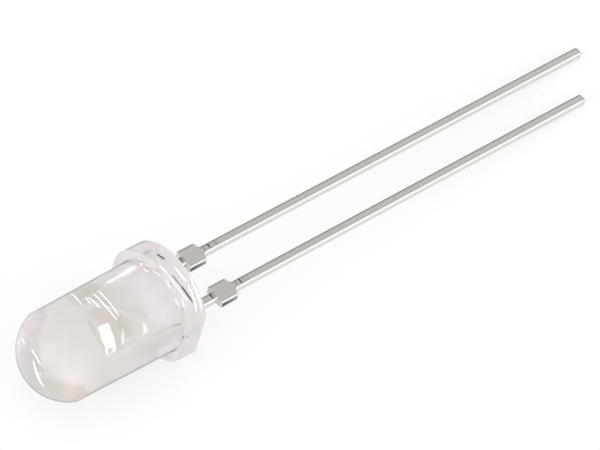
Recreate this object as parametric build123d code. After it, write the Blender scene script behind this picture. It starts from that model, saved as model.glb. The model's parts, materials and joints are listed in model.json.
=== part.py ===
from build123d import *
import math
import os

# Clear round light-emitting diode with two radial leads, in millimetres.
# It is drawn in a straight frame of its own, then laid down as it comes to rest:
#   x runs along the diode, from the dome (negative) to the lead tips (positive),
#     with zero at the rear face of the flange
#   y runs across the two leads, the anode at +y and the cathode at -y
#   z is square to the sheet that both leads were stamped from
# Heights inside the lens are measured forward from the rear face of the flange.

# Epoxy body
lens_length = 8.87
flange_diameter = 6.06
flange_thickness = 1.2
flange_rear_bevel = 0.06
flange_front_bevel = 0.05
flat_distance = 2.65
barrel_base_diameter = 5.04
barrel_top_diameter = 4.86
dome_radius = 2.57

# Stamped leads
sheet_thickness = 0.48
lead_width = 0.48
lead_pitch = 2.54
anode_length = 29.02
cathode_length = 27.02
lead_edge_bevel = 0.08

# Trimmed dam bar that stays on each lead as its stand-off
standoff_start = 1.87
standoff_length = 1.13
standoff_width = 1.18
standoff_corner_round = 0.12
standoff_flare = 0.1
standoff_neck_round = 0.2

# Anvil on the cathode lead and post on the anode lead, inside the lens
shoulder_height = 1.53
plate_half_width = 1.72
plate_corner_round = 0.12
electrode_gap = 0.34
gap_angle = 34.0
anvil_height = 4.28
anvil_top_half_width = 0.5
anvil_outer_height = 3.53
post_foot_height = 2.03
post_height = 4.83
post_pad_width = 0.7

# Reflector cup coined in the top of the anvil
cup_mouth_diameter = 1.02
cup_floor_diameter = 0.62
cup_rim_width = 0.12
cup_depth = 0.42
cup_height = 0.62
cup_flare_height = 0.24

# Semiconductor die, its adhesive and the phosphor over it
die_size = 0.3
die_thickness = 0.12
adhesive_thickness = 0.015
adhesive_margin = 0.02
phosphor_drop = 0.04

# Gold bond wires
wire_diameter = 0.03
ball_diameter = 0.07
ball_height = 0.02
ball_offset = 0.09
anode_loop_rise = 0.3
anode_loop_end_rise = 0.26
cathode_loop_rise = 0.16
loop_bend_radius = 0.09
post_bond_inset = 0.3
stitch_length = 0.09
stitch_width = 0.06
stitch_height = 0.012

# Worked out from the sizes above
flange_radius = flange_diameter / 2
barrel_base_radius = barrel_base_diameter / 2
barrel_top_radius = barrel_top_diameter / 2
dome_height = dome_radius - math.sqrt(dome_radius**2 - barrel_top_radius**2)
barrel_top_height = lens_length - dome_height
half_pitch = lead_pitch / 2
half_sheet = sheet_thickness / 2
half_lead = lead_width / 2
cup_radius = cup_mouth_diameter / 2 + cup_rim_width
cup_top = anvil_height + cup_height
cup_floor = cup_top - cup_depth
die_bottom = cup_floor + adhesive_thickness
die_top = die_bottom + die_thickness
phosphor_top = cup_top - phosphor_drop
wire_clears = max(cup_top, post_height)


def turned(profile):
    """Solid turned about the diode's axis from its half section."""
    return revolve(make_face(profile), Axis.X)


def cone(low, high, low_radius, high_radius):
    """Round solid on the axis between two heights."""
    points = [(-low, 0), (-low, low_radius), (-high, high_radius), (-high, 0)]
    return turned(Polyline(*points, close=True))


def flange():
    """Rim round the foot of the barrel, with one flat and its edges broken."""
    disc = cone(0, flange_thickness, flange_radius, flange_radius)
    past_all = 2 * flange_diameter
    beyond_flat = Box(past_all, past_all, past_all, align=(Align.CENTER, Align.MAX, Align.CENTER))
    disc -= Pos(0, -flat_distance, 0) * beyond_flat
    disc = chamfer(disc.faces().sort_by(Axis.X)[-1].edges(), flange_rear_bevel)
    return chamfer(disc.faces().sort_by(Axis.X)[0].edges(), flange_front_bevel)


def lens_outside():
    """The casting as if it were solid: domed nose, drafted barrel, and the flange."""
    nose = (-lens_length, 0)
    shoulder = (-barrel_top_height, barrel_top_radius)
    foot = (-flange_thickness, barrel_base_radius)
    dome = RadiusArc(nose, shoulder, dome_radius)
    sides = Polyline(shoulder, foot, (-flange_thickness, 0), nose)
    return turned(dome + sides) + flange()


def stamped(corners):
    """Plate cut from the lead sheet: each corner of its outline is x, y and the radius of its round."""
    points = [(x, y) for x, y, corner_round in corners]
    rounds = [corner_round for x, y, corner_round in corners]
    outline = FilletPolyline(*points, radius=rounds, close=True)
    return extrude(make_face(outline), amount=half_sheet, both=True)


def tail(side, length):
    """Square lead with its trimmed dam bar, from inside the lens to its cut tip."""
    root = -shoulder_height - plate_corner_round
    bar_end = standoff_start + standoff_length
    neck = bar_end + standoff_flare
    half_bar = standoff_width / 2
    half_outline = [
        (root, half_lead, 0),
        (standoff_start, half_lead, 0),
        (standoff_start, half_bar, standoff_corner_round),
        (bar_end, half_bar, standoff_corner_round),
        (neck, half_lead, standoff_neck_round),
        (length, half_lead, 0),
    ]
    other_half = [(x, -y, corner_round) for x, y, corner_round in reversed(half_outline)]
    strip = stamped(half_outline + other_half)
    faces = strip.faces().filter_by(Axis.Z)
    long_edges = faces.edges().filter_by(lambda edge: root < (edge @ 0.5).X < length)
    strip = chamfer(long_edges, lead_edge_bevel)
    return Pos(0, side * half_pitch, 0) * strip


def gap_across(height):
    """Where the anvil's slanted edge lies across the leads at a height."""
    climb = math.tan(math.radians(gap_angle))
    return half_lead - half_pitch + climb * (height - shoulder_height)


def height_of_gap(across):
    """Height at which the anvil's slanted edge reaches a place across the leads."""
    climb = math.tan(math.radians(gap_angle))
    return shoulder_height + (across - half_lead + half_pitch) / climb


def anvil():
    """Wide plate of the cathode, with the reflector cup coined in its top."""
    inner_root = half_lead - half_pitch
    plate = stamped(
        [
            (-shoulder_height, -plate_half_width, plate_corner_round),
            (-shoulder_height, inner_root, 0),
            (-height_of_gap(anvil_top_half_width), anvil_top_half_width, plate_corner_round),
            (-anvil_height, anvil_top_half_width, 0),
            (-anvil_height, -anvil_top_half_width, 0),
            (-anvil_outer_height, -plate_half_width, plate_corner_round),
        ]
    )
    flare = cone(anvil_height - cup_flare_height, anvil_height, half_sheet, cup_radius)
    cup = cone(anvil_height, cup_top, cup_radius, cup_radius)
    hollow = cone(cup_floor, cup_top, cup_floor_diameter / 2, cup_mouth_diameter / 2)
    return plate + flare + cup - hollow


def post():
    """Plate of the anode, whose top is the pad for the bond wire."""
    gap_width = electrode_gap / math.cos(math.radians(gap_angle))
    inner_top = plate_half_width - post_pad_width
    inner_foot = gap_across(post_foot_height) + gap_width
    return stamped(
        [
            (-shoulder_height, plate_half_width, plate_corner_round),
            (-shoulder_height, half_pitch - half_lead, 0),
            (-post_foot_height, half_pitch - half_lead, 0),
            (-post_foot_height, inner_foot, plate_corner_round),
            (-height_of_gap(inner_top - gap_width), inner_top, plate_corner_round),
            (-post_height, inner_top, plate_corner_round),
            (-post_height, plate_half_width, plate_corner_round),
        ]
    )


def on_axis_block(low, high, width):
    """Square block on the axis between two heights."""
    block = Box(high - low, width, width, align=(Align.MAX, Align.CENTER, Align.CENTER))
    return Pos(-low, 0, 0) * block


def bond_wire(side, loop_top, bend, landing_height, landing):
    """Gold wire from its ball on the die, over its loop, to its stitch on a lead."""
    start = (-die_top, side * ball_offset)
    top = (-loop_top, side * ball_offset)
    end = (-landing_height, side * landing)
    corners = [start, top, bend, end] if bend else [start, top, end]
    path = FilletPolyline(*corners, radius=loop_bend_radius)
    section = Plane(origin=path @ 0, z_dir=path % 0) * Circle(wire_diameter / 2)
    run = sweep(section, path=path)
    ball = Pos(*start) * Cylinder(
        ball_diameter / 2,
        ball_height,
        rotation=(0, -90, 0),
        align=(Align.CENTER, Align.CENTER, Align.MIN),
    )
    stitch_face = Plane(origin=end, x_dir=(0, 1, 0), z_dir=(-1, 0, 0))
    stitch = extrude(stitch_face * Ellipse(stitch_length / 2, stitch_width / 2), stitch_height)
    return ball + run + stitch


def resting_up():
    """Direction of up in the straight frame, once the diode rests on its flange and both tips.

    The slope along the diode is a small angle, and each pass works it out more closely.
    """
    passes = 30
    lean = (anode_length - cathode_length) / lead_pitch
    along = 0.0
    for _ in range(passes):
        across = -lean * along
        square = math.sqrt(1 - along**2 - across**2)
        radial = math.hypot(across, square)
        flange_drop = flange_radius * radial
        lead_drop = (half_lead - lead_edge_bevel) * abs(across) + half_sheet * square
        reach = anode_length + flange_rear_bevel - lean * half_pitch
        along = (lead_drop - flange_drop) / reach
    return Vector(along, across, square)


def main():
    anode_lead = tail(1, anode_length) + post()
    cathode_lead = tail(-1, cathode_length) + anvil()
    led_chip = on_axis_block(die_bottom, die_top, die_size)
    die_attach = on_axis_block(cup_floor, die_bottom, die_size + 2 * adhesive_margin)

    pad_middle = plate_half_width - post_bond_inset
    anode_loop_top = wire_clears + anode_loop_rise
    bend = (-(wire_clears + anode_loop_end_rise), plate_half_width - post_pad_width)
    anode_bond_wire = bond_wire(1, anode_loop_top, bend, post_height, pad_middle) - anode_lead
    rim_middle = (cup_mouth_diameter + cup_rim_width) / 2
    cathode_loop_top = cup_top + cathode_loop_rise
    cathode_bond_wire = bond_wire(-1, cathode_loop_top, None, cup_top, rim_middle) - cathode_lead

    climb = (cup_mouth_diameter - cup_floor_diameter) / 2 / cup_depth
    fill_radius = cup_floor_diameter / 2 + climb * (phosphor_top - cup_floor)
    phosphor_fill = cone(cup_floor, phosphor_top, cup_floor_diameter / 2, fill_radius)
    phosphor_fill -= led_chip + die_attach
    phosphor_fill = phosphor_fill - anode_bond_wire - cathode_bond_wire

    epoxy_lens = lens_outside() - anode_lead - cathode_lead
    epoxy_lens = epoxy_lens - phosphor_fill - led_chip - die_attach
    epoxy_lens = epoxy_lens - anode_bond_wire - cathode_bond_wire

    pieces = {
        "epoxy_lens": epoxy_lens,
        "anode_lead": anode_lead,
        "cathode_lead": cathode_lead,
        "led_chip": led_chip,
        "die_attach": die_attach,
        "phosphor_fill": phosphor_fill,
        "anode_bond_wire": anode_bond_wire,
        "cathode_bond_wire": cathode_bond_wire,
    }

    up = resting_up()
    forward = Vector(1, 0, 0) - up * up.X
    floor_plane = Plane(origin=(0, 0, 0), x_dir=forward, z_dir=up)
    laid = {name: floor_plane.to_local_coords(piece) for name, piece in pieces.items()}
    box = Compound(list(laid.values())).bounding_box()
    to_origin = Pos(-(box.min.X + box.max.X) / 2, -(box.min.Y + box.max.Y) / 2, -box.min.Z)

    os.makedirs("parts", exist_ok=True)
    for name, piece in laid.items():
        export_step(to_origin * piece, f"parts/{name}.step")


main()
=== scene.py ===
"""Clear round light-emitting diode with two radial leads, lying on its rim and lead tips."""

import json
import math

import bmesh
import bpy
from bpy.props import FloatProperty, FloatVectorProperty, IntProperty, PointerProperty
from mathutils import Matrix, Vector


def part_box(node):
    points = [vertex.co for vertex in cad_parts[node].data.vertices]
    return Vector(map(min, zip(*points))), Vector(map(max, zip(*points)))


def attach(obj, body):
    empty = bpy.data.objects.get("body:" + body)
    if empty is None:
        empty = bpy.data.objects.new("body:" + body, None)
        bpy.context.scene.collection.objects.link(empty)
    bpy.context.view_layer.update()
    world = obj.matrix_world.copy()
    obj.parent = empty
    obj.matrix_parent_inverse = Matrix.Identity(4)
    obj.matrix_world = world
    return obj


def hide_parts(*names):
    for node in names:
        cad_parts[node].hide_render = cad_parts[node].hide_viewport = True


bl_info = {
    "name": "Clear Radial Diode",
    "version": (1, 0, 0),
    "blender": (4, 5, 0),
    "location": "View3D > Sidebar > Diode",
    "description": "Casts the clear body, finishes the plated leads and lights the diode on a pale table",
    "category": "Object",
}

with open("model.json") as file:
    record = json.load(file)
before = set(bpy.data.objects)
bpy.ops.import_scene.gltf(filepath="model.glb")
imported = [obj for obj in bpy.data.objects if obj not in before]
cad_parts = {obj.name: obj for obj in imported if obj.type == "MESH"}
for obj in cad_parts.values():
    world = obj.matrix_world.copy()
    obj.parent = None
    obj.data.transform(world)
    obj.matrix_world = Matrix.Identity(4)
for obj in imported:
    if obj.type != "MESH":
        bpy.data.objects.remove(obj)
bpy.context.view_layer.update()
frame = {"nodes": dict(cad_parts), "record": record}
mm = 0.001

# The straight frame: x along the diode with the dome negative and zero at the rear of the flange,
# y across the leads with the anode positive, z square to the sheet of the leads.
mounts = {mount["name"]: mount for mount in frame["record"]["mounts"]}
to_dome = Vector(mounts["flange_rim"]["axis"])
rim_middle = Vector(mounts["flange_rim"]["pos_m"])

white = (1.0, 1.0, 1.0)
black = (0.0, 0.0, 0.0)


def distance(name, description, millimetres):
    """Setting for a length."""
    return FloatProperty(name=name, description=description, default=millimetres * mm, subtype="DISTANCE")


def angle(name, description, degrees):
    """Setting for an angle."""
    return FloatProperty(name=name, description=description, default=math.radians(degrees), subtype="ANGLE")


def number(name, description, value):
    """Setting for a plain number."""
    return FloatProperty(name=name, description=description, default=value)


def tint(name, description, color):
    """Setting for a colour."""
    return FloatVectorProperty(name=name, description=description, default=color, subtype="COLOR")


def position(name, description, millimetres):
    """Setting for a place."""
    default = [value * mm for value in millimetres]
    return FloatVectorProperty(
        name=name, description=description, default=default, subtype="XYZ", unit="LENGTH"
    )


class DiodeBody(bpy.types.PropertyGroup):
    """Sizes and tints of the clear casting."""

    length: distance("Length", "Rear of the flange to the nose", 8.87)
    flange_diameter: distance("Flange diameter", "Across the rim", 6.06)
    flange_thickness: distance("Flange thickness", "Along the diode", 1.2)
    rear_round: distance("Rear round", "Round on the rear edge of the rim", 0.06)
    front_round: distance("Front round", "Round on the front edge of the rim", 0.05)
    foot_round: distance("Foot round", "Hollow round at the barrel's foot", 0.05)
    flat_distance: distance("Flat distance", "Axis to the flat of the rim", 2.65)
    barrel_base: distance("Barrel base", "Barrel's diameter at the flange", 5.04)
    barrel_top: distance("Barrel top", "Barrel's diameter at the dome", 4.86)
    dome_radius: distance("Dome radius", "Radius of the domed nose", 2.57)
    turn_steps: IntProperty(
        name="Turn steps", description="Points round each ring of the casting", default=288, min=24
    )
    epoxy_color: tint("Epoxy", "Clear epoxy in the barrel", (0.88, 0.852, 0.84))
    thin_color: tint("Thin epoxy", "Epoxy out in the rim", (0.965, 0.935, 0.92))
    rim_color: tint("Rim", "Painted lilac light at the far and low ends of the rim", (0.95, 0.885, 0.94))
    painted_warm_light_color: tint("Warm", "Painted warm light low on the nose", (1.0, 0.92, 0.87))
    outline_color: tint("Painted outline shade", "Painted shade where the epoxy is seen at a grazing angle", (0.04, 0.035, 0.04))
    painted_dark_glint_color: tint("Painted dark glint", "Painted dark glints of the lead frame's edges in the rim", (0.02, 0.018, 0.015))
    warm_glow: tint("Warm glow", "Light scattered low on the nose", (0.1, 0.085, 0.078))
    far_glow: tint("Far glow", "Light scattered on the far side of the nose", (0.13, 0.105, 0.12))
    rim_glow: tint("Rim glow", "Light scattered low in the rim", (0.06, 0.05, 0.057))
    transmission: number("Transmission", "Share of light that goes through", 0.5)
    refraction: number("Refraction", "How strongly the epoxy bends light", 1.53)


class DiodeLeads(bpy.types.PropertyGroup):
    """Finish of the stamped and plated leads."""

    half_lead: distance("Half lead", "Half the width of a lead", 0.24)
    half_pitch: distance("Half pitch", "Axis to the middle of a lead", 1.27)
    half_standoff: distance("Half stand-off", "Half the width of a stand-off", 0.59)
    standoff_start: distance("Stand-off start", "Where the wider finish starts", 1.85)
    standoff_end: distance("Stand-off end", "Where the wider finish ends", 3.03)
    mean_length: distance("Mean length", "Mean length of the two leads", 28.02)
    half_difference: distance("Half difference", "Half the difference of the leads' lengths", 1.0)
    plating_color: tint("Plating", "Dull silver plating outside the epoxy", (0.77, 0.735, 0.69))
    bright_color: tint("Bright plating", "Plating kept bright under the epoxy", (0.98, 0.96, 0.95))
    painted_phosphor_reflection_color: tint("Painted phosphor reflection", "Painted reflection of the phosphor on the plating beside it", (0.66, 0.61, 0.47))
    darker_plating_and_shade_color: tint("Darker plating and painted shade", "Darker lines beside the edges, and painted shade low on the sides", (0.34, 0.32, 0.3))
    bare_color: tint("Bare steel", "Sheared ends without plating", (0.18, 0.17, 0.16))
    painted_edge_highlight_color: tint("Painted edge highlight", "Painted highlight on the near upper edges", (0.98, 0.97, 0.95))
    painted_edge_shade_color: tint("Painted edge shade", "Painted shade on the far upper edges", (0.05, 0.048, 0.045))
    sheared_color: tint("Sheared side", "Sides where the dam bar was cut", (0.06, 0.057, 0.053))
    mark_color: tint("Tool mark", "Marks of the forming tool", (0.05, 0.045, 0.04))


class DiodeInside(bpy.types.PropertyGroup):
    """Finish of the small pieces inside the casting."""

    phosphor_color: tint("Phosphor", "Dab over the die", (0.88, 0.84, 0.76))
    die_color: tint("Die", "Semiconductor die", (0.3, 0.38, 0.5))
    adhesive_color: tint("Adhesive", "Film under the die", (0.75, 0.75, 0.74))
    gold_color: tint("Gold", "Bond wires", (0.95, 0.72, 0.3))
    painted_warm_wall_color: tint("Cup's wall", "Reflector plating with a painted warm reflection of the phosphor", (0.86, 0.73, 0.56))
    lip_color: tint("Cup's lip", "Reflector plating at the mouth", (0.86, 0.84, 0.82))
    lit_color: tint("Lit lip", "Reflector plating where the light reaches it", (0.95, 0.95, 0.94))
    glare_color: tint("Glare", "Light from the mouth of the reflector", (1.0, 1.0, 0.99))
    phosphor_glare: number("Phosphor's glare", "Strength of the light from the phosphor", 1.3)
    lip_glare: number("Lip's glare", "Strength of the light from the reflector's lip", 1.4)
    painted_glint_color: tint("Painted glint", "Threads of painted bright glint in the epoxy", (0.93, 0.93, 0.92))
    painted_glint_glare: number("Thread's glare", "Strength of the light from the threads", 1.5)
    over_frame: distance("Over the frame", "Threads over the lead frame's middle plane", 0.31)


class DiodeStage(bpy.types.PropertyGroup):
    """View, table and light."""

    azimuth: angle("Azimuth", "Way the camera looks, from +Y", -44.62)
    elevation: angle("Elevation", "Camera above the horizon", 51.72)
    roll: angle("Roll", "Camera's turn about its own line of sight", 6.4)
    distance: distance("Distance", "Camera to the point it looks at", 206.8)
    target: position("Target", "Point at the middle of the picture", (-1.143, 0.256, 1.526))
    focal_length: number("Focal length", "In millimetres", 245.0)
    table_size: distance("Table", "Side of the pale table", 600.0)
    table_color: tint("Table colour", "Pale table", (0.45, 0.45, 0.45))
    table_glow: number("Table glow", "Light that the table adds where it is seen", 0.58)
    high_color: tint("High surroundings", "What metal mirrors from above", (0.55, 0.55, 0.55))
    near_fill: number("Near fill", "Soft light from the near side", 1.4)
    far_fill: number("Far fill", "Soft light from the far side", 0.75)
    lamp_place: position("Lamp", "Middle of the soft box", (-260.0, 20.0, 150.0))
    lamp_size: distance("Lamp size", "Side of the soft box", 185.0)
    lamp_turn: angle("Lamp turn", "Turn of the soft box about its own axis", 40.0)
    lamp_power: number("Lamp power", "In watts", 0.13)


SETTINGS = {
    "diode_body": DiodeBody,
    "diode_leads": DiodeLeads,
    "diode_inside": DiodeInside,
    "diode_stage": DiodeStage,
}


def straight_frame():
    """Matrix from the straight frame to the diode as it lies."""
    along = -to_dome
    half_pitch = bpy.context.scene.diode_leads.half_pitch
    tips = [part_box(name)[1].x for name in ("anode_lead", "cathode_lead")]
    lean = (tips[0] - tips[1]) / along.x / (2 * half_pitch)
    rise = -lean * along.z
    across = Vector((-along.z * rise / along.x, 0, rise))
    across.y = math.sqrt(1 - across.length_squared)
    square = along.cross(across)
    body = bpy.context.scene.diode_body
    # The pin mount is the rim between its rear and front bevels.
    middle = (body.flange_thickness + body.rear_round - body.front_round) / 2
    origin = rim_middle + along * middle
    turn = Matrix((along, across, square)).transposed().to_4x4()
    return Matrix.Translation(origin) @ turn


def set_inputs(tree, node, inputs):
    """Sets sockets of a node. Each value is a number, a colour or another node's output."""
    for name, value in inputs.items():
        socket = node.inputs[name]
        if isinstance(value, bpy.types.NodeSocket):
            tree.links.new(value, socket)
        else:
            socket.default_value = value


def add_node(tree, kind, inputs=None, **settings):
    """New node with its settings and its inputs."""
    node = tree.nodes.new(kind)
    for name, value in settings.items():
        setattr(node, name, value)
    set_inputs(tree, node, inputs or {})
    return node


def calc(tree, operation, first, second=0.0, clamp=False):
    """Output of a Math node."""
    node = add_node(tree, "ShaderNodeMath", {0: first, 1: second}, operation=operation, use_clamp=clamp)
    return node.outputs[0]


def vector_calc(tree, operation, first, second, output=0):
    """Output of a Vector Math node."""
    node = add_node(tree, "ShaderNodeVectorMath", {0: first, 1: second}, operation=operation)
    return node.outputs[output]


def scaled(tree, vector, factor):
    """Vector or colour times a factor."""
    return add_node(tree, "ShaderNodeVectorMath", {0: vector, "Scale": factor}, operation="SCALE").outputs[0]


def product(tree, *values):
    """Product of several values."""
    result = values[0]
    for value in values[1:]:
        result = calc(tree, "MULTIPLY", result, value)
    return result


def inverse(tree, mask):
    """1 where the mask is 0, and 0 where it is 1."""
    return calc(tree, "SUBTRACT", 1.0, mask)


def blend_colors(tree, factor, first, second):
    """Colour that goes from the first to the second as the factor goes from 0 to 1."""
    node = add_node(tree, "ShaderNodeMix", data_type="RGBA", blend_type="MIX")
    set_inputs(tree, node, {0: factor, 6: first, 7: second})
    return node.outputs[2]


def smooth_step(tree, value, start, end):
    """0 before start and 1 after end, with a soft ramp between."""
    ramp = {"Value": value, "From Min": start, "From Max": end}
    return add_node(tree, "ShaderNodeMapRange", ramp, interpolation_type="SMOOTHSTEP").outputs["Result"]


def smooth_drop(tree, value, start, end):
    """1 before start and 0 after end, with a soft ramp between."""
    return inverse(tree, smooth_step(tree, value, start, end))


def spread(tree, value, low, high, start=0.0, end=1.0):
    """Value that goes from low to high as the given one goes from start to end."""
    ramp = {"Value": value, "From Min": start, "From Max": end, "To Min": low, "To Max": high}
    return add_node(tree, "ShaderNodeMapRange", ramp).outputs["Result"]


def noise(tree, spot, scale, detail):
    """Cloudy value from 0 to 1."""
    inputs = {"Vector": spot, "Scale": scale, "Detail": detail}
    return add_node(tree, "ShaderNodeTexNoise", inputs).outputs["Fac"]


def object_spot(tree):
    """Place of a surface point, in metres."""
    return add_node(tree, "ShaderNodeTexCoord").outputs["Object"]


def bumps(tree, shader, height, strength, depth):
    """Fine relief on a shader's surface."""
    bump = add_node(tree, "ShaderNodeBump", {"Height": height, "Strength": strength, "Distance": depth})
    tree.links.new(bump.outputs["Normal"], shader.inputs["Normal"])


def rgba(color):
    """Colour with its alpha."""
    return (*color, 1.0)


def new_group(name, inputs, outputs):
    """Empty shader node group with its named sockets, and its input and output nodes."""
    group = bpy.data.node_groups.new(name, "ShaderNodeTree")
    for direction, sockets in (("INPUT", inputs), ("OUTPUT", outputs)):
        for socket_name, kind in sockets.items():
            group.interface.new_socket(socket_name, in_out=direction, socket_type="NodeSocket" + kind)
    return group, group.nodes.new("NodeGroupInput"), group.nodes.new("NodeGroupOutput")


def group_node(tree, group, inputs=None):
    """Node that places a group in a material."""
    node = add_node(tree, "ShaderNodeGroup", node_tree=group)
    set_inputs(tree, node, inputs or {})
    return node


def once(build):
    """Node group made the first time that it is asked for."""
    made = {}

    def get():
        if not made:
            made["group"] = build()
        return made["group"]

    return get


@once
def place_group():
    """Straight frame coordinates of a surface point, in millimetres."""
    outputs = {"Along": "Float", "Across": "Float", "Square": "Float"}
    group, _, out = new_group("Diode Place", {}, outputs)
    matrix = straight_frame()
    offset = vector_calc(group, "SUBTRACT", object_spot(group), matrix.translation)
    for column, name in enumerate(outputs):
        length = vector_calc(group, "DOT_PRODUCT", offset, matrix.col[column].xyz / mm, "Value")
        group.links.new(length, out.inputs[name])
    return group


def straight_place(tree):
    """Along, across and square of a surface point, placed as a node group."""
    place = group_node(tree, place_group())
    return [place.outputs[name] for name in ("Along", "Across", "Square")]


def joined(tree, along, across, square):
    """Vector of three values."""
    return add_node(tree, "ShaderNodeCombineXYZ", {0: along, 1: across, 2: square}).outputs[0]


@once
def mottle_group():
    """Cloudy change of a colour from place to place."""
    inputs = {"Color": "Color", "Scale": "Float", "Amount": "Float"}
    group, inside, out = new_group("Soft Mottle", inputs, {"Color": "Color"})
    cloudy = noise(group, object_spot(group), inside.outputs["Scale"], 3.0)
    centred = calc(group, "SUBTRACT", cloudy, 0.5)
    value = calc(group, "ADD", calc(group, "MULTIPLY", centred, inside.outputs["Amount"]), 1.0)
    group.links.new(scaled(group, inside.outputs["Color"], value), out.inputs["Color"])
    return group


def mottled(tree, color, scale, amount):
    """Colour with a cloudy change, placed as a node group."""
    sockets = {"Color": color, "Scale": scale, "Amount": amount}
    return group_node(tree, mottle_group(), sockets).outputs["Color"]


@once
def band_group():
    """1 within a band round a position, with soft sides, and 0 away from it."""
    inputs = {"Value": "Float", "Position": "Float", "Half Width": "Float", "Softness": "Float"}
    group, inside, out = new_group("Soft Band", inputs, {"Mask": "Float"})
    value, middle, half_width, softness = (inside.outputs[name] for name in inputs)
    away = calc(group, "ABSOLUTE", calc(group, "SUBTRACT", value, middle))
    share = calc(group, "DIVIDE", calc(group, "SUBTRACT", away, half_width), softness)
    group.links.new(calc(group, "SUBTRACT", 1.0, share, clamp=True), out.inputs["Mask"])
    return group


def band(tree, value, middle, half_width, softness):
    """Mask of a band, placed as a node group."""
    sockets = {"Value": value, "Position": middle, "Half Width": half_width, "Softness": softness}
    return group_node(tree, band_group(), sockets).outputs["Mask"]


@once
def streak_group():
    """1 along a thin streak from a start to an end, and 0 away from it."""
    inputs = {"Spot": "Vector", "Start": "Vector", "End": "Vector", "Width": "Float"}
    group, inside, out = new_group("Thin Streak", inputs, {"Mask": "Float"})
    spot, start, end, width = (inside.outputs[name] for name in inputs)
    from_start = vector_calc(group, "SUBTRACT", spot, start)
    whole = vector_calc(group, "SUBTRACT", end, start)
    reach = vector_calc(group, "DOT_PRODUCT", from_start, whole, "Value")
    whole_squared = vector_calc(group, "DOT_PRODUCT", whole, whole, "Value")
    share = calc(group, "DIVIDE", reach, whole_squared, clamp=True)
    gap = vector_calc(group, "DISTANCE", from_start, scaled(group, whole, share), "Value")
    mask = calc(group, "SUBTRACT", 1.6, calc(group, "DIVIDE", gap, width), clamp=True)
    group.links.new(mask, out.inputs["Mask"])
    return group


def streak(tree, spot, start, end, width):
    """Mask of a streak, placed as a node group."""
    sockets = {"Spot": spot, "Start": start, "End": end, "Width": width}
    return group_node(tree, streak_group(), sockets).outputs["Mask"]


def new_material(name):
    """Material with only its output and a Principled shader."""
    material = bpy.data.materials.new(name)
    material.use_nodes = True
    tree = material.node_tree
    return material, tree, tree.nodes["Principled BSDF"]


def ring_points(ring, body, flat_steps):
    """Points of one ring of the casting, from one corner of the flat round to the same corner."""
    height, radius, flat = ring
    corner = math.acos(body.flat_distance / (body.flange_diameter / 2))
    if flat is not None:
        corner = math.acos(flat / radius)
    arc_steps = body.turn_steps - flat_steps
    points = []
    for step in range(flat_steps):
        share = -1 + 2 * step / flat_steps
        if flat is None:
            turn = share * corner
            points.append((radius * math.sin(turn), -radius * math.cos(turn)))
        else:
            points.append((share * radius * math.sin(corner), -flat))
    for step in range(arc_steps):
        turn = corner + (2 * math.pi - 2 * corner) * step / arc_steps
        points.append((radius * math.sin(turn), -radius * math.cos(turn)))
    return [Vector((-height, y, z)) for z, y in points]


def shoulder_turn(body):
    """Angle at the dome's middle between the nose and the top of the barrel."""
    return math.asin(body.barrel_top / 2 / body.dome_radius)


def shoulder_height(body):
    """Height of the barrel's top over the rear of the flange."""
    return body.length - body.dome_radius * (1 - math.cos(shoulder_turn(body)))


def flange_rings(body):
    """Rings over the flange's rear, its rim and the hollow round at the barrel's foot."""
    rear_steps, round_steps = 24, 6
    radius = body.flange_diameter / 2
    flat = body.flat_distance
    base = body.barrel_base / 2
    rings = []
    for step in range(1, rear_steps):
        share = step / rear_steps
        rings.append((0, share * (radius - body.rear_round), share * (flat - body.rear_round)))
    quarter = [math.pi / 2 * step / round_steps for step in range(round_steps + 1)]
    for turn in quarter:
        inset = body.rear_round * (1 - math.sin(turn))
        rings.append((body.rear_round * (1 - math.cos(turn)), radius - inset, flat - inset))
    for turn in quarter:
        inset = body.front_round * (1 - math.cos(turn))
        height = body.flange_thickness - body.front_round * (1 - math.sin(turn))
        rings.append((height, radius - inset, flat - inset))
    for turn in quarter:
        outset = body.foot_round * (1 - math.sin(turn))
        height = body.flange_thickness + body.foot_round * (1 - math.cos(turn))
        rings.append((height, base + outset, None))
    return rings


def barrel_rings(body):
    """Rings from the barrel's foot over its taper and the dome to the nose."""
    barrel_steps, dome_steps = 12, 64
    base = body.barrel_base / 2
    top = body.barrel_top / 2
    foot = body.flange_thickness + body.foot_round
    rings = []
    for step in range(1, barrel_steps + 1):
        share = step / barrel_steps
        rings.append((foot + share * (shoulder_height(body) - foot), base + share * (top - base), None))
    for step in range(1, dome_steps):
        turn = shoulder_turn(body) * (1 - step / dome_steps)
        height = body.length - body.dome_radius * (1 - math.cos(turn))
        rings.append((height, body.dome_radius * math.sin(turn), None))
    return rings


def casting_mesh(body):
    """Closed outer skin of the casting in the straight frame."""
    mesh = bpy.data.meshes.new("clear_body")
    made = bmesh.new()
    flat_steps = body.turn_steps // 6
    loops = []
    for ring in flange_rings(body) + barrel_rings(body):
        loops.append([made.verts.new(point) for point in ring_points(ring, body, flat_steps)])
    sides = [(step - 1, step) for step in range(body.turn_steps)]
    for low, high in zip(loops, loops[1:]):
        for here, after in sides:
            made.faces.new((low[here], low[after], high[after], high[here]))
    for loop, height in ((loops[0], 0), (loops[-1], body.length)):
        pole = made.verts.new((-height, 0, 0))
        for here, after in sides:
            made.faces.new((loop[here], loop[after], pole))
    bmesh.ops.recalc_face_normals(made, faces=made.faces)
    made.to_mesh(mesh)
    made.free()
    mesh.shade_smooth()
    mesh.set_sharp_from_angle(angle=math.radians(30))
    return mesh
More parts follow.
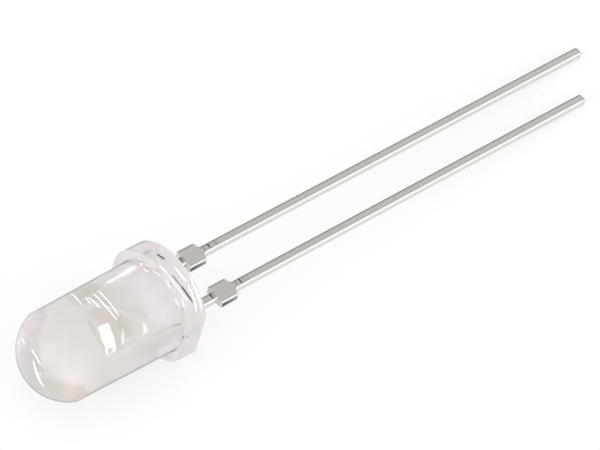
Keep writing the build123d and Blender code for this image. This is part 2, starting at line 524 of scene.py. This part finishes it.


# Painted dark glints of the lead frame's edges in the straight frame, in millimetres: start, middle,
# end, half width and strength.
PAINTED_DARK_GLINTS = (
    ((-0.88, -0.62, 2.966), (-0.82, -0.98, 2.867), (-0.75, -1.34, 2.718), 0.028, 0.8),
    ((-0.76, -1.3, 2.737), (-0.69, -1.65, 2.541), (-0.62, -1.9, 2.36), 0.045, 0.95),
    ((-0.62, -1.9, 2.36), (-0.61, -1.96, 2.311), (-0.59, -2.03, 2.249), 0.028, 0.9),
    ((-0.67, 0.82, 2.917), (-0.65, 0.62, 2.966), (-0.63, 0.42, 3.001), 0.055, 0.9),
    ((-1.0, -0.45, 2.996), (-0.95, -0.72, 2.943), (-0.9, -0.95, 2.877), 0.02, 0.35),
    ((-1.2, -0.87, 2.84), (-1.2, -0.9, 2.85), (-1.2, -0.93, 2.84), 0.04, 0.6),
    ((-1.2, -1.97, 2.18), (-1.2, -2.0, 2.17), (-1.2, -2.03, 2.16), 0.04, 0.6),
    ((-1.2, -2.57, 0.44), (-1.2, -2.57, 0.41), (-1.2, -2.57, 0.38), 0.045, 0.8),
    ((-1.0, -2.65, 0.44), (-0.98, -2.65, 0.41), (-0.96, -2.65, 0.38), 0.045, 0.85),
    ((-1.66, -2.18, 1.25), (-1.45, -2.21, 1.21), (-1.25, -2.23, 1.18), 0.03, 0.45),
    ((-3.05, -2.14, 1.29), (-2.4, -2.16, 1.27), (-1.66, -2.18, 1.25), 0.022, 0.22),
    ((-1.47, 1.9, 1.65), (-1.5, 1.7, 1.85), (-1.54, 1.47, 2.04), 0.06, 0.18),
)


def painted_dark_glint_mask(tree, place):
    """Mask of all the painted dark glints."""
    glints = 0.0
    for start, middle, end, width, strength in PAINTED_DARK_GLINTS:
        halves = [streak(tree, place, *ends, width) for ends in ((start, middle), (middle, end))]
        glint = calc(tree, "MULTIPLY", calc(tree, "MAXIMUM", *halves), strength)
        glints = calc(tree, "MAXIMUM", glints, glint)
    return glints


def epoxy_material(body):
    """Clear epoxy, faintly milky, with painted light: lilac out in the rim, warm low on the nose, shade at
    its outline.
    """
    material, tree, shader = new_material("Clear epoxy")
    along, across, square = straight_place(tree)

    # Parts of the casting that have their own tint, and parts that take painted light.
    front = -body.flange_thickness / mm
    base = body.barrel_base / 2 / mm
    squares = calc(tree, "ADD", product(tree, across, across), product(tree, square, square))
    in_rim = product(
        tree,
        smooth_step(tree, along, front - 0.4, front + 0.2),
        smooth_step(tree, calc(tree, "SQRT", squares), base - 0.3, base + 0.3),
    )
    low_end = smooth_drop(tree, square, -0.5, 0.6)
    ends = calc(tree, "MAXIMUM", smooth_step(tree, across, 0.6, 1.7), low_end)
    warm = product(
        tree,
        band(tree, along, -7.75, 0.1, 1.3),
        band(tree, across, -2.1, 0.1, 1.5),
        band(tree, square, 0.1, 0.1, 2.0),
    )
    far_nose = product(tree, smooth_drop(tree, along, -8.0, -6.6), smooth_step(tree, across, 0.3, 1.4))

    color = blend_colors(tree, in_rim, rgba(body.epoxy_color), rgba(body.thin_color))
    # Painted lilac light at the rim's far and low ends.
    color = blend_colors(tree, product(tree, in_rim, ends), color, rgba(body.rim_color))
    # Painted warm light low on the nose.
    color = blend_colors(tree, warm, color, rgba(body.painted_warm_light_color))
    color = mottled(tree, color, 260.0, 0.03)
    # Painted shade at the outline, where the epoxy is seen at a grazing angle.
    facing = add_node(tree, "ShaderNodeLayerWeight", {"Blend": 0.5}).outputs["Facing"]
    behind = add_node(tree, "ShaderNodeNewGeometry").outputs["Backfacing"]
    edge = product(tree, smooth_step(tree, facing, 0.72, 0.85), inverse(tree, behind))
    color = blend_colors(tree, edge, color, rgba(body.outline_color))
    # Painted dark glints of the lead frame's edges in the rim.
    glints = painted_dark_glint_mask(tree, joined(tree, along, across, square))
    color = blend_colors(tree, glints, color, rgba(body.painted_dark_glint_color))
    tree.links.new(color, shader.inputs["Base Color"])

    # Painted glow, for light scattered inside the epoxy from the phosphor and from the table.
    glow = blend_colors(tree, warm, rgba(black), rgba(body.warm_glow))
    glow = blend_colors(tree, far_nose, glow, rgba(body.far_glow))
    glow = blend_colors(tree, product(tree, in_rim, low_end), glow, rgba(body.rim_glow))
    tree.links.new(glow, shader.inputs["Emission Color"])
    shader.inputs["Emission Strength"].default_value = 1.0

    cloudy = noise(tree, object_spot(tree), 700.0, 2.0)
    tree.links.new(spread(tree, cloudy, 0.0, 0.01), shader.inputs["Roughness"])
    bumps(tree, shader, cloudy, 0.01, 0.02 * mm)
    shader.inputs["IOR"].default_value = body.refraction
    shader.inputs["Transmission Weight"].default_value = body.transmission

    # Lamps reach what lies inside and under the casting.
    path = add_node(tree, "ShaderNodeLightPath")
    clear = add_node(tree, "ShaderNodeBsdfTransparent", {"Color": rgba((0.86, 0.85, 0.855))})
    mix = add_node(tree, "ShaderNodeMixShader", {0: path.outputs["Is Shadow Ray"]})
    tree.links.new(shader.outputs[0], mix.inputs[1])
    tree.links.new(clear.outputs[0], mix.inputs[2])
    tree.links.new(mix.outputs[0], tree.nodes["Material Output"].inputs["Surface"])
    return material


# Dark marks of the forming tool across the leads: place along, half width, strength, and 1 for the
# anode or -1 for the cathode.
TOOL_MARKS = (
    (3.25, 0.03, 0.55, 1), (3.55, 0.05, 0.85, 1), (3.97, 0.03, 0.5, 1), (4.12, 0.01, 0.25, 1),
    (3.28, 0.03, 0.5, -1), (3.56, 0.05, 0.85, -1), (3.8, 0.02, 0.45, -1), (4.03, 0.02, 0.35, -1),
    (1.7, 0.045, 0.95, -1), (1.86, 0.02, 0.6, -1), (1.78, 0.045, 0.95, 1), (1.92, 0.02, 0.6, 1),
)


def tool_marks(tree, along, side):
    """Mask of the tool's marks on both leads."""
    marks = 0.0
    for middle, half_width, strength, which in TOOL_MARKS:
        chosen = smooth_step(tree, calc(tree, "MULTIPLY", side, which), 0.0, 0.5)
        mark = product(tree, band(tree, along, middle, half_width, 0.03), chosen, strength)
        marks = calc(tree, "ADD", marks, mark)
    return marks


def lead_material(leads):
    """Silver plated strip: dull outside, pale under the epoxy, bare where it was sheared, with painted light
    and shade.
    """
    material, tree, shader = new_material("Plated lead")
    along, across, square = straight_place(tree)
    normal = add_node(tree, "ShaderNodeTexCoord").outputs["Normal"]
    axes = straight_frame().col
    faces_across, faces_up = (
        vector_calc(tree, "DOT_PRODUCT", normal, axes[column].xyz, "Value") for column in (1, 2)
    )
    faces_back = calc(tree, "MULTIPLY", faces_across, -1.0)
    flat_top = smooth_step(tree, faces_up, 0.85, 0.95)
    flat_face = smooth_step(tree, calc(tree, "ABSOLUTE", faces_up), 0.85, 0.95)
    sloping = smooth_step(tree, faces_up, 0.4, 0.6)
    side = calc(tree, "SIGN", across)
    from_middle = calc(tree, "SUBTRACT", across, calc(tree, "MULTIPLY", side, leads.half_pitch / mm))
    away = calc(tree, "ABSOLUTE", from_middle)
    half_lead = leads.half_lead / mm
    half_standoff = leads.half_standoff / mm
    bar_start = leads.standoff_start / mm
    bar_end = leads.standoff_end / mm

    # Outside the casting the plating is duller; by the phosphor the frame's tip takes its painted
    # reflection.
    outside = smooth_step(tree, along, -0.4, 0.0)
    tinted = product(tree, smooth_drop(tree, along, -3.45, -3.25), smooth_step(tree, across, -0.9, -0.6))
    inner = blend_colors(tree, tinted, rgba(leads.bright_color), rgba(leads.painted_phosphor_reflection_color))
    color = blend_colors(tree, outside, inner, rgba(leads.plating_color))

    # Grain drawn along the strip.
    drawn = joined(tree, calc(tree, "MULTIPLY", along, 0.7), across, square)
    grain = noise(tree, drawn, 16.0, 4.0)
    color = scaled(tree, color, spread(tree, grain, 0.9, 1.13))

    # Darker lines beside the edges of the flat faces, over the leads and the wider stand-offs.
    bar = product(
        tree,
        smooth_step(tree, along, bar_start - 0.05, bar_start + 0.05),
        smooth_drop(tree, along, bar_end - 0.05, bar_end + 0.05),
    )
    half = spread(tree, bar, half_lead, half_standoff)
    from_edge = calc(tree, "SUBTRACT", half, away)
    beside = product(tree, flat_face, band(tree, from_edge, 0.09, 0.02, 0.03), outside, 0.5)
    color = blend_colors(tree, beside, color, rgba(leads.darker_plating_and_shade_color))

    # Painted shade on the far upper edge, and a painted highlight on the near upper edge.
    painted_far_edge_shade = product(tree, smooth_step(tree, faces_across, 0.4, 0.6), sloping, outside)
    color = blend_colors(tree, painted_far_edge_shade, color, rgba(leads.painted_edge_shade_color))
    painted_near_edge_highlight = product(tree, smooth_step(tree, faces_back, 0.4, 0.6), sloping, outside)
    color = blend_colors(tree, painted_near_edge_highlight, color, rgba(leads.painted_edge_highlight_color))
    # A painted shade line along the far edge of the stand-offs' tops.
    far_half = smooth_step(tree, from_middle, 0.1, 0.2)
    far_edge = product(tree, flat_top, band(tree, from_edge, 0.0, 0.03, 0.02), far_half, bar, 0.8)
    color = blend_colors(tree, far_edge, color, rgba(leads.painted_edge_shade_color))

    # Painted shade on the sides, darker towards the underside.
    upright = smooth_step(tree, calc(tree, "ABSOLUTE", faces_across), 0.85, 0.95)
    low = smooth_drop(tree, square, -0.2, 0.2)
    color = blend_colors(tree, product(tree, upright, low, outside, 0.22), color, rgba(leads.darker_plating_and_shade_color))

    # Bare sheared sides of the stand-offs, darkest at the casting's end.
    sheared = product(tree, smooth_step(tree, away, half_standoff - 0.012, half_standoff - 0.004), outside)
    fading = smooth_step(tree, along, 1.9, 3.2)
    shear_color = blend_colors(tree, fading, rgba(leads.sheared_color), rgba(leads.darker_plating_and_shade_color))
    color = blend_colors(tree, sheared, color, shear_color)

    # Tool marks, fainter on the near half of each lead.
    patchy = smooth_step(tree, grain, 0.3, 0.55)
    narrow = smooth_drop(tree, away, half_lead - 0.02, half_lead + 0.02)
    fainter = spread(tree, from_middle, 0.35, 1.0, -0.2, 0.0)
    where = product(tree, flat_top, patchy, narrow, fainter)
    marks = calc(tree, "MULTIPLY", where, tool_marks(tree, along, side), clamp=True)
    color = blend_colors(tree, marks, color, rgba(leads.mark_color))

    # Cut tips, with a thin dark edge.
    longer = calc(tree, "MULTIPLY", side, leads.half_difference / mm)
    tip = calc(tree, "ADD", leads.mean_length / mm, longer)
    at_tip = smooth_step(tree, calc(tree, "SUBTRACT", along, tip), -0.07, -0.03)
    color = blend_colors(tree, product(tree, at_tip, 0.6), color, rgba(leads.bare_color))

    tree.links.new(color, shader.inputs["Base Color"])
    tree.links.new(spread(tree, outside, 0.0, 0.9), shader.inputs["Metallic"])
    tree.links.new(spread(tree, grain, 0.2, 0.36), shader.inputs["Roughness"])
    bumps(tree, shader, grain, 0.06, 0.01 * mm)
    return material


def small_material(name, color, roughness, metallic=0.0, scale=4000.0, amount=0.2):
    """Material for a small inner piece, with a cloudy colour."""
    material, tree, shader = new_material(name)
    tree.links.new(mottled(tree, rgba(color), scale, amount), shader.inputs["Base Color"])
    shader.inputs["Roughness"].default_value = roughness
    shader.inputs["Metallic"].default_value = metallic
    return material


def painted_glint_material(inside):
    """Painted white glint, as a glowing thread inside the epoxy."""
    material, tree, shader = new_material("Painted glint thread")
    color = mottled(tree, rgba(inside.painted_glint_color), 3000.0, 0.1)
    tree.links.new(color, shader.inputs["Base Color"])
    tree.links.new(color, shader.inputs["Emission Color"])
    shader.inputs["Emission Strength"].default_value = inside.painted_glint_glare
    shader.inputs["Roughness"].default_value = 0.3
    return material


def mouth_mask(tree):
    """Bright part of the reflector's mouth: ragged, and only on the side that the light reaches."""
    along, across, square = straight_place(tree)
    cloudy = noise(tree, joined(tree, along, across, square), 5.0, 2.0)
    ragged = calc(tree, "SUBTRACT", cloudy, 0.5)
    shifted = calc(tree, "ADD", across, calc(tree, "MULTIPLY", ragged, 0.1))
    slanted = calc(tree, "SUBTRACT", along, calc(tree, "MULTIPLY", across, 0.15))
    return product(
        tree,
        smooth_drop(tree, slanted, -4.42, -4.34),
        band(tree, shifted, -0.44, 0.26, 0.05),
        band(tree, square, 0.25, 0.47, 0.06),
    )


def phosphor_material(inside):
    """Phosphor dab, glaring white where the light reaches it."""
    material, tree, shader = new_material("Phosphor")
    tree.links.new(mottled(tree, rgba(inside.phosphor_color), 3000.0, 0.2), shader.inputs["Base Color"])
    glare = blend_colors(tree, mouth_mask(tree), rgba(black), rgba(inside.glare_color))
    tree.links.new(glare, shader.inputs["Emission Color"])
    shader.inputs["Emission Strength"].default_value = inside.phosphor_glare
    shader.inputs["Roughness"].default_value = 0.5
    return material


def sleeve_material(inside):
    """Reflector plating: a painted warm reflection of the phosphor on its wall, and painted glare at its
    mouth.
    """
    material, tree, shader = new_material("Reflector plating")
    along = straight_place(tree)[0]
    bright = mouth_mask(tree)
    lip = smooth_drop(tree, along, -4.85, -4.7)
    # The wall's warm colour is a painted reflection of the phosphor.
    wall = blend_colors(tree, lip, rgba(inside.painted_warm_wall_color), rgba(inside.lip_color))
    color = blend_colors(tree, bright, mottled(tree, wall, 2500.0, 0.2), rgba(inside.lit_color))
    tree.links.new(color, shader.inputs["Base Color"])
    glare = blend_colors(tree, bright, rgba(black), rgba(inside.glare_color))
    tree.links.new(glare, shader.inputs["Emission Color"])
    shader.inputs["Emission Strength"].default_value = inside.lip_glare
    shader.inputs["Roughness"].default_value = 0.35
    return material


def dress(name, material):
    """Gives a solid of the frame its material."""
    materials = frame["nodes"][name].data.materials
    materials.clear()
    materials.append(material)


def new_piece(name, data, material):
    """Object of the scene with its material."""
    piece = bpy.data.objects.new(name, data)
    bpy.context.scene.collection.objects.link(piece)
    data.materials.append(material)
    return piece


class DIODE_OT_casting(bpy.types.Operator):
    """Casts the clear body over the solids"""

    bl_idname = "diode.casting"
    bl_label = "Cast Clear Body"

    def execute(self, context):
        body = context.scene.diode_body
        mesh = casting_mesh(body)
        mesh.transform(straight_frame())
        piece = new_piece("clear_body", mesh, epoxy_material(body))
        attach(piece, "root")
        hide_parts("epoxy_lens")
        return {"FINISHED"}


class DIODE_OT_leads(bpy.types.Operator):
    """Finishes the two plated leads"""

    bl_idname = "diode.leads"
    bl_label = "Finish Leads"

    def execute(self, context):
        material = lead_material(context.scene.diode_leads)
        for name in ("anode_lead", "cathode_lead"):
            dress(name, material)
        return {"FINISHED"}


class DIODE_OT_inside(bpy.types.Operator):
    """Finishes the die, its phosphor, its adhesive and its wires"""

    bl_idname = "diode.inside"
    bl_label = "Finish Inside"

    def execute(self, context):
        inside = context.scene.diode_inside
        dress("phosphor_fill", phosphor_material(inside))
        dress("led_chip", small_material("Die", inside.die_color, 0.15))
        dress("die_attach", small_material("Adhesive", inside.adhesive_color, 0.6))
        gold = small_material("Gold wire", inside.gold_color, 0.25, metallic=1.0)
        for name in ("anode_bond_wire", "cathode_bond_wire"):
            dress(name, gold)
        return {"FINISHED"}


# Section of the reflector's sleeve, along and radius in millimetres: up the outer wall, over the flared
# lip and back inside.
SLEEVE_SECTION = (
    (-3.95, 0.64), (-3.97, 0.68), (-4.2, 0.7), (-4.45, 0.71), (-4.62, 0.73), (-4.8, 0.75), (-4.95, 0.77),
    (-4.97, 0.75), (-4.97, 0.55), (-4.96, 0.53), (-4.92, 0.55), (-4.84, 0.635), (-4.6, 0.635), (-4.1, 0.635),
)


def sleeve_mesh():
    """Closed ring turned from the sleeve's section, in the straight frame."""
    turn_steps = 96
    mesh = bpy.data.meshes.new("reflector_sleeve")
    made = bmesh.new()
    loops = []
    for step in range(turn_steps):
        turn = 2 * math.pi * step / turn_steps
        outward = Vector((0, math.cos(turn), math.sin(turn)))
        around = [(Vector((along, 0, 0)) + radius * outward) * mm for along, radius in SLEEVE_SECTION]
        loops.append([made.verts.new(point) for point in around])
    for step in range(turn_steps):
        first, second = loops[step - 1], loops[step]
        for low in range(len(SLEEVE_SECTION)):
            high = (low + 1) % len(SLEEVE_SECTION)
            made.faces.new((first[low], first[high], second[high], second[low]))
    bmesh.ops.recalc_face_normals(made, faces=made.faces)
    made.to_mesh(mesh)
    made.free()
    mesh.shade_smooth()
    return mesh


class DIODE_OT_sleeve(bpy.types.Operator):
    """Turns the flared sleeve round the reflector cup"""

    bl_idname = "diode.sleeve"
    bl_label = "Turn Reflector Sleeve"

    def execute(self, context):
        mesh = sleeve_mesh()
        mesh.transform(straight_frame())
        piece = new_piece("reflector_sleeve", mesh, sleeve_material(context.scene.diode_inside))
        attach(piece, "root")
        return {"FINISHED"}


# Bright streaks of painted glint in the straight frame, in millimetres: half thickness and points. Those
# on the lead frame have only their places along and across.
FRAME_STREAKS = (
    (0.045, ((-4.33, 1.11), (-4.36, 0.96), (-4.38, 0.84))),
    (0.048, ((-4.2, 1.08), (-4.15, 0.85), (-4.13, 0.56))),
    (0.042, ((-3.86, 1.1), (-3.83, 0.7), (-3.79, 0.3), (-3.77, -0.04))),
    (0.042, ((-3.53, 1.12), (-3.52, 0.75), (-3.52, 0.4), (-3.53, 0.06))),
    (0.036, ((-4.63, 1.5), (-4.7, 1.2), (-4.78, 0.93))),
    (0.055, ((-0.98, 1.24), (-1.3, 1.22), (-1.7, 1.21), (-2.1, 1.2))),
    (0.03, ((-1.9, 1.2), (-2.4, 1.2), (-2.9, 1.2))),
    (0.034, ((-3.76, -0.43), (-3.95, -0.7), (-4.22, -0.99))),
    (0.03, ((-2.66, -0.6), (-2.6, -0.85), (-2.72, -1.03))),
    (0.025, ((-2.72, -0.75), (-2.8, -0.95), (-2.88, -1.02))),
)
# Those just under the casting's skin.
SKIN_STREAKS = (
    (0.045, ((-8.3, 1.42, 0.8), (-8.41, 1.18, 0.92), (-8.49, 0.91, 0.99))),
    (0.03, ((-8.25, 1.62, 0.38), (-8.42, 1.35, 0.5), (-8.52, 1.13, 0.64))),
    (0.05, ((-8.52, 0.4, 1.22), (-8.57, 0.0, 1.2), (-8.6, -0.3, 1.12), (-8.6, -0.52, 1.03))),
    (0.075, (
        (-8.7, -0.06, 0.91), (-8.75, -0.38, 0.62), (-8.76, -0.67, 0.31), (-8.7, -0.9, 0.05),
        (-8.62, -1.1, -0.18),
    )),
    (0.04, ((-7.38, 1.84, 1.45), (-7.43, 1.79, 1.47))),
    (0.045, ((-7.97, 1.78, 0.81), (-8.02, 1.73, 0.83))),
    (0.035, ((-8.55, -1.2, -0.04), (-8.59, -1.22, -0.06))),
    (0.03, ((-8.76, 0.42, 0.6), (-8.8, 0.5, 0.34), (-8.8, 0.56, 0.2))),
    (0.05, ((-1.07, 0.2, 3.02), (-1.03, 0.0, 3.03), (-0.99, -0.3, 3.015))),
    (0.036, ((-1.0, -0.42, 3.0), (-0.97, -0.95, 2.877), (-0.93, -1.48, 2.644), (-0.78, -1.95, 2.32))),
    (0.04, ((-0.47, -0.21, 3.02), (-0.44, -0.63, 2.964), (-0.38, -1.17, 2.795))),
    (0.045, ((-0.38, -1.3, 2.737), (-0.38, -1.7, 2.508), (-0.4, -2.1, 2.184), (-0.52, -2.4, 1.85))),
    (0.04, ((-0.09, -1.05, 2.842), (-0.14, -1.6, 2.573), (-0.12, -2.1, 2.184), (-0.19, -2.45, 1.783))),
    (0.03, ((-0.32, 1.02, 2.853), (-0.33, 0.82, 2.917))),
    (0.04, ((-1.18, 0.36, 2.53), (-1.18, 0.06, 2.62), (-1.18, -0.2, 2.7))),
    (0.04, ((-1.18, -0.45, 2.78), (-1.18, -0.75, 2.76), (-1.18, -0.99, 2.7))),
    (0.035, ((-1.18, -1.42, 2.28), (-1.18, -1.65, 2.2), (-1.18, -1.85, 2.08))),
    (0.075, ((-1.24, -1.93, 1.6), (-1.24, -1.98, 1.53))),
    (0.035, ((-1.06, -1.72, 2.494), (-1.08, -1.92, 2.344), (-1.09, -2.1, 2.184))),
    (0.04, ((-1.16, 1.03, 2.32), (-1.15, 0.86, 2.45), (-1.18, 0.74, 2.4))),
    (0.045, ((-1.44, 0.82, 2.37), (-1.47, 0.66, 2.42), (-1.46, 0.5, 2.46))),
    (0.045, ((-1.3, 1.36, 2.1), (-1.2, 1.2, 2.2), (-1.28, 1.06, 2.27), (-1.45, 1.1, 2.26))),
    (0.035, ((-1.2, 2.08, 1.3), (-1.22, 1.85, 1.6))),
)


def sunk(points, depth):
    """Points on the casting's skin, moved in towards its axis and back from the tip of the nose."""
    nose_start, easing = 7.0, 1.5
    moved = []
    for along, across, square in points:
        pull = depth / math.hypot(across, square, easing)
        back = depth * max(0.0, -along - nose_start) / 2
        moved.append((along + back, across * (1 - pull), square * (1 - pull)))
    return moved


def thread_paths(over_frame):
    """Half thickness and points of every bright streak of painted glint, as a thread inside the epoxy."""
    paths = [(half, [(*point, over_frame) for point in points]) for half, points in FRAME_STREAKS]
    # Deep enough for a thread to stay inside where the casting curves away from it.
    paths += [(half, sunk(points, 1.6 * half + 0.03)) for half, points in SKIN_STREAKS]
    return paths


def thread_curve(paths):
    """Fine threads in the straight frame, each thinner towards its ends."""
    end_share = 0.35
    curve = bpy.data.curves.new("painted_glint_streaks", "CURVE")
    curve.dimensions = "3D"
    curve.bevel_depth = 1.0
    curve.bevel_resolution = 2
    curve.use_fill_caps = True
    curve.resolution_u = 6
    matrix = straight_frame()
    for half_thickness, points in paths:
        spline = curve.splines.new("NURBS")
        spline.points.add(len(points) - 1)
        for index, (knot, point) in enumerate(zip(spline.points, points)):
            swelling = math.sin(math.pi * index / (len(points) - 1))
            knot.co = (*(matrix @ (Vector(point) * mm)), 1.0)
            knot.radius = half_thickness * mm * (end_share + (1 - end_share) * swelling)
        spline.order_u = min(4, len(points))
        spline.use_endpoint_u = True
    return curve


class DIODE_OT_streaks(bpy.types.Operator):
    """Lays the fine bright streaks of painted glint into the epoxy"""

    bl_idname = "diode.streaks"
    bl_label = "Lay Bright Streaks"

    def execute(self, context):
        inside = context.scene.diode_inside
        curve = thread_curve(thread_paths(inside.over_frame / mm))
        piece = new_piece("painted_glint_streaks", curve, painted_glint_material(inside))
        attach(piece, "root")
        return {"FINISHED"}


def background_share(tree):
    """1 for rays from the camera, from gloss and through the clear body, 0 for diffuse light."""
    path = add_node(tree, "ShaderNodeLightPath")
    share = calc(tree, "ADD", path.outputs["Is Camera Ray"], path.outputs["Is Glossy Ray"])
    return calc(tree, "ADD", share, path.outputs["Is Transmission Ray"], clamp=True)


def table_material(stage):
    """Pale table that keeps a soft shadow and looks white beside it."""
    material, tree, shader = new_material("Pale table")
    tree.links.new(mottled(tree, rgba(stage.table_color), 20.0, 0.02), shader.inputs["Base Color"])
    shader.inputs["Roughness"].default_value = 0.9
    shader.inputs["Specular IOR Level"].default_value = 0.0
    glow_strength = calc(tree, "MULTIPLY", background_share(tree), stage.table_glow)
    glow = add_node(tree, "ShaderNodeEmission", {"Strength": glow_strength})
    both = add_node(tree, "ShaderNodeAddShader")
    tree.links.new(shader.outputs[0], both.inputs[0])
    tree.links.new(glow.outputs[0], both.inputs[1])
    tree.links.new(both.outputs[0], tree.nodes["Material Output"].inputs["Surface"])
    return material


def add_table(stage):
    """Square table under the diode."""
    mesh = bpy.data.meshes.new("table")
    made = bmesh.new()
    bmesh.ops.create_grid(made, x_segments=8, y_segments=8, size=stage.table_size / 2)
    made.to_mesh(mesh)
    made.free()
    table = new_piece("table", mesh, table_material(stage))


def build_world(stage):
    """White surroundings, greyer high up where the metal mirrors them, and plain soft light."""
    world = bpy.data.worlds.new("Soft surroundings")
    bpy.context.scene.world = world
    world.use_nodes = True
    tree = world.node_tree
    tree.nodes.clear()
    way = add_node(tree, "ShaderNodeTexCoord").outputs["Generated"]
    height = add_node(tree, "ShaderNodeSeparateXYZ", {0: way}).outputs["Z"]
    high = smooth_step(tree, height, 0.45, 0.75)
    mirrored = blend_colors(tree, high, rgba(white), rgba(stage.high_color))
    seen = add_node(tree, "ShaderNodeBackground", {"Color": mirrored, "Strength": 1.0})
    near_side = Vector((-0.35, -0.93, -0.05)).normalized()
    toward = vector_calc(tree, "DOT_PRODUCT", way, near_side, "Value")
    fill = spread(tree, toward, stage.far_fill, stage.near_fill, -0.2, 1.0)
    light = add_node(tree, "ShaderNodeBackground", {"Color": rgba(white), "Strength": fill})
    mix = add_node(tree, "ShaderNodeMixShader", {0: background_share(tree)})
    tree.links.new(light.outputs[0], mix.inputs[1])
    tree.links.new(seen.outputs[0], mix.inputs[2])
    out = add_node(tree, "ShaderNodeOutputWorld")
    tree.links.new(mix.outputs[0], out.inputs["Surface"])


def add_lamp(stage):
    """Square soft box that faces the diode, turned about its own axis."""
    lamp = bpy.data.lights.new("key_lamp", "AREA")
    lamp.shape = "SQUARE"
    lamp.size = stage.lamp_size
    lamp.energy = stage.lamp_power
    holder = bpy.data.objects.new("key_lamp", lamp)
    bpy.context.scene.collection.objects.link(holder)
    holder.location = stage.lamp_place
    holder.rotation_mode = "QUATERNION"
    facing = (Vector(stage.target) - Vector(stage.lamp_place)).to_track_quat("-Z", "Y")
    holder.rotation_quaternion = facing @ Matrix.Rotation(stage.lamp_turn, 4, "Z").to_quaternion()


def add_camera(stage):
    """Camera that looks along the stage's azimuth and elevation."""
    camera = bpy.data.objects.new("camera", bpy.data.cameras.new("camera"))
    bpy.context.scene.collection.objects.link(camera)
    level = math.cos(stage.elevation)
    forward = Vector((
        -math.sin(stage.azimuth) * level,
        math.cos(stage.azimuth) * level,
        -math.sin(stage.elevation),
    ))
    camera.location = Vector(stage.target) - forward * stage.distance
    camera.rotation_mode = "QUATERNION"
    roll = Matrix.Rotation(stage.roll, 4, "Z").to_quaternion()
    camera.rotation_quaternion = forward.to_track_quat("-Z", "Y") @ roll
    camera.data.lens = stage.focal_length
    camera.data.clip_start = 0.01
    camera.data.clip_end = 10.0
    bpy.context.scene.camera = camera


class DIODE_OT_stage(bpy.types.Operator):
    """Sets the table, the surroundings, the lamp and the camera"""

    bl_idname = "diode.stage"
    bl_label = "Set Stage"

    def execute(self, context):
        stage = context.scene.diode_stage
        add_table(stage)
        build_world(stage)
        add_lamp(stage)
        add_camera(stage)
        context.scene.view_settings.view_transform = "Standard"
        return {"FINISHED"}


class DIODE_PT_panel(bpy.types.Panel):
    """Sizes and steps of the diode"""

    bl_idname = "DIODE_PT_panel"
    bl_label = "Diode"
    bl_space_type = "VIEW_3D"
    bl_region_type = "UI"
    bl_category = "Diode"

    def draw(self, context):
        for settings_name, settings_class in SETTINGS.items():
            box = self.layout.box()
            settings = getattr(context.scene, settings_name)
            for prop in settings_class.__annotations__:
                box.prop(settings, prop)
        for operator in OPERATORS:
            self.layout.operator(operator.bl_idname)


OPERATORS = (
    DIODE_OT_casting,
    DIODE_OT_leads,
    DIODE_OT_inside,
    DIODE_OT_sleeve,
    DIODE_OT_streaks,
    DIODE_OT_stage,
)
CLASSES = (*SETTINGS.values(), *OPERATORS, DIODE_PT_panel)


def register():
    for registered in CLASSES:
        bpy.utils.register_class(registered)
    for name, settings in SETTINGS.items():
        setattr(bpy.types.Scene, name, PointerProperty(type=settings))


def unregister():
    for name in SETTINGS:
        delattr(bpy.types.Scene, name)
    for registered in reversed(CLASSES):
        bpy.utils.unregister_class(registered)


def main():
    register()
    bpy.ops.diode.casting()
    bpy.ops.diode.leads()
    bpy.ops.diode.inside()
    bpy.ops.diode.sleeve()
    bpy.ops.diode.streaks()
    bpy.ops.diode.stage()


if __name__ == "__main__":
    main()
